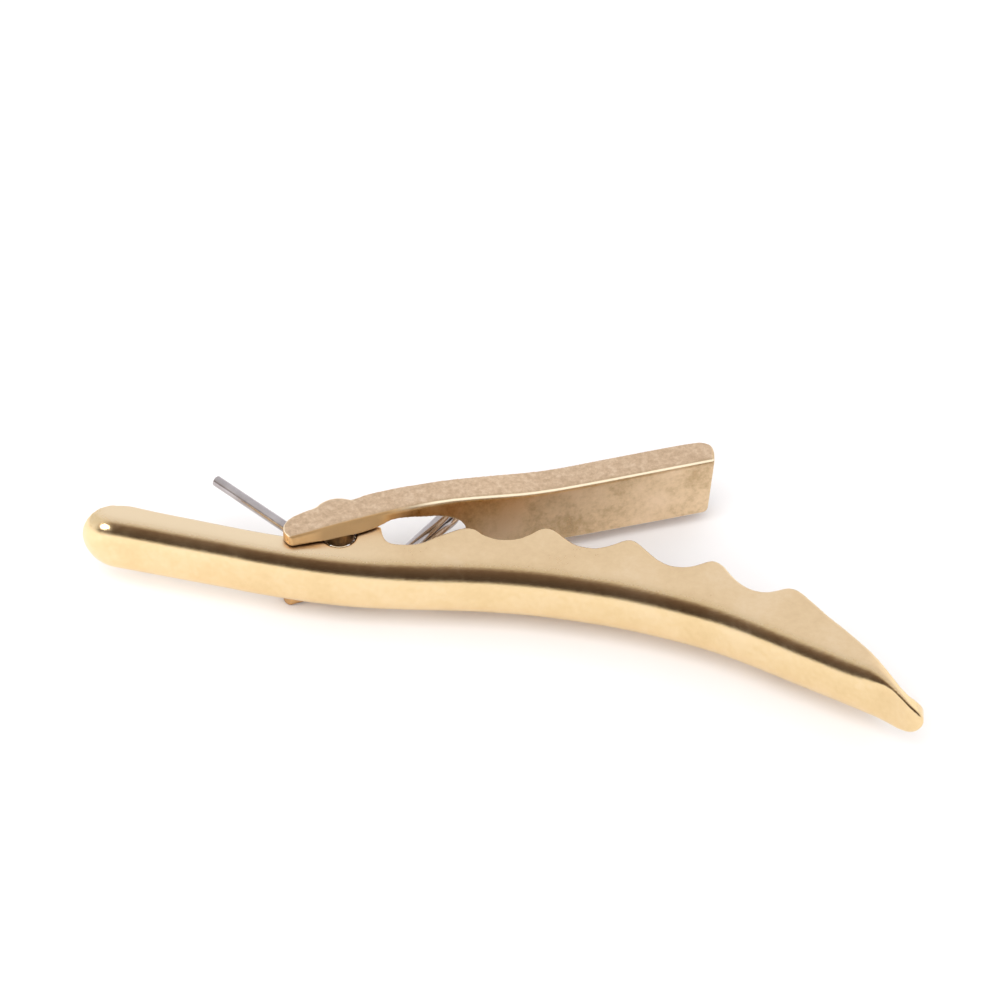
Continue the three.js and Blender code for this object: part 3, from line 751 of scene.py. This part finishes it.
def steel():
    material, net, shader, at = new_material("drawn_steel")
    fine = net.noise(at, scale=4000, detail=3, rough=0.6)
    broad = net.noise(at, scale=500, detail=3, rough=0.5)
    greys = [(0.35, (0.46, 0.42, 0.42)), (0.65, (0.6, 0.56, 0.56))]
    crevice_shade_black = (0.05, 0.035, 0.03)
    tone = net.ramp(broad, greys)
    # painted shade: the wire turns near black in recesses and between the parts, by ambient
    # occlusion
    unshaded = net.remap(net.open_air(distance=0.001), span=(0.2, 0.8))
    net.feed_all(shader, {
        "Base Color": net.mix(unshaded, crevice_shade_black, tone),
        "Metallic": 1.0,
        "Roughness": net.remap(fine, NOISE_SPAN, to=(0.1, 0.2)),
        "Normal": net.bump(fine, distance=1e-6, strength=0.4),
    })
    return material


def pale_floor():
    material, net, shader, at = new_material("pale_floor")
    whites = [(0.4, (0.925, 0.925, 0.935)), (0.6, (0.945, 0.945, 0.955))]
    net.feed_all(shader, {
        "Base Color": net.ramp(net.noise(at, scale=40), whites),
        "Roughness": 0.7,
        "Specular IOR Level": 0.2,
    })
    return material


jaw.data.materials.append(brass_jaw())
counter.data.materials.append(brass_counter())
spring.data.materials.append(steel())

# ---- place on the frame ----------------------------------------------------------------------
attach(jaw, "toothed_jaw")
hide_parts("toothed_jaw")
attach(counter, "counter_jaw")
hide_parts("counter_jaw")
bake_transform(spring)
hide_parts("torsion_spring")


# ---- floor, world, lights and camera, metres -------------------------------------------------
def add_object(name, data, location):
    item = bpy.data.objects.new(name, data)
    item.location = location
    bpy.context.scene.collection.objects.link(item)
    return item


def turn_to(item, direction):
    item.rotation_mode = "QUATERNION"
    item.rotation_quaternion = direction.to_track_quat("-Z", "Y")


def build_floor():
    work = bmesh.new()
    bmesh.ops.create_grid(work, x_segments=8, y_segments=8, size=0.6)
    mesh = bpy.data.meshes.new("floor")
    work.to_mesh(mesh)
    work.free()
    floor = add_object("floor", mesh, location=(0.01, 0.0, -0.00002))
    mesh.materials.append(pale_floor())


# Room colour from the back horizon (+Y) at 0, over the top, to the camera's horizon at 1
SKY = [
    (0.0, (0.86, 0.86, 0.88)), (0.25, (0.88, 0.88, 0.9)), (0.5, (0.82, 0.81, 0.81)),
    (0.555, (0.72, 0.68, 0.65)), (0.6, (0.36, 0.29, 0.25)), (0.66, (0.17, 0.12, 0.1)),
    (0.76, (0.12, 0.085, 0.07)), (0.93, (0.06, 0.045, 0.04)), (0.975, (0.5, 0.47, 0.45)),
    (1.0, (0.95, 0.95, 0.95)),
]
SIDE_WHITE, PANE_WHITE = (0.95, 0.94, 0.93), (1.25, 1.25, 1.25)
PANE_DIRECTION = Vector((0.6, 0.72, 0.33)).normalized()
PANE_OUTER, PANE_INNER = math.radians(30), math.radians(18)  # soft edge of the window


def build_world():
    world = bpy.data.worlds.new("studio")
    bpy.context.scene.world = world
    net = Net(world)
    output = net.add("ShaderNodeOutputWorld")
    background = net.add("ShaderNodeBackground")
    net.feed(output.inputs[0], background.outputs[0])
    toward = net.split(net.coord("Generated"))
    angle = net.math("DEGREES", net.math("ARCTAN2", toward["Z"], toward["Y"]))
    room = net.ramp(net.remap(angle, span=(0.0, 180.0)), SKY)
    # both sides of the room are white
    side = net.remap(net.math("ABSOLUTE", toward["X"]), span=(0.93, 0.98))
    room = net.mix(side, room, SIDE_WHITE)
    # a window behind on the right
    near = net.vector("DOT_PRODUCT", net.coord("Generated"), PANE_DIRECTION)["Value"]
    pane = net.remap(near, span=(math.cos(PANE_OUTER), math.cos(PANE_INNER)))
    room = net.mix(pane, room, PANE_WHITE)
    net.feed_all(background, {"Color": room, "Strength": 1.0})


def add_light(name, at, aim, size, watts, shape="RECTANGLE", colour=(1, 1, 1)):
    data = bpy.data.lights.new(name, "AREA")
    data.shape = shape
    data.size, data.size_y = size
    data.energy = watts
    data.color = colour
    light = add_object(name, data, Vector(at))
    turn_to(light, Vector(aim) - Vector(at))
    return light


def add_camera(aim, width, elevation, distance):
    data = bpy.data.cameras.new("camera")
    data.type = "ORTHO"
    data.ortho_scale = width
    data.clip_start, data.clip_end = 0.01, 10
    back = Vector((0, -math.cos(elevation), math.sin(elevation)))
    camera = add_object("camera", data, aim + back * distance)
    turn_to(camera, -back)
    bpy.context.scene.camera = camera


build_floor()
build_world()
aim = Vector((9.81, 4.44, MID)) * MM
fill = add_light("table_soft_box", at=(0.0, -0.34, 0.4), aim=aim, size=(0.8, 0.7), watts=3.8)
fill.visible_glossy = False
add_light(
    "left_lamp", at=(-0.0444, -0.016, 0.023), aim=(-0.013, 0, 0.004), size=(0.0125, 0.0125),
    watts=0.0052, shape="DISK", colour=(1, 0.97, 0.95),
)
add_camera(aim, width=60.98 * MM, elevation=math.radians(42), distance=0.4)
bpy.context.scene.view_settings.view_transform = "Standard"
bpy.context.scene.view_settings.look = "None"
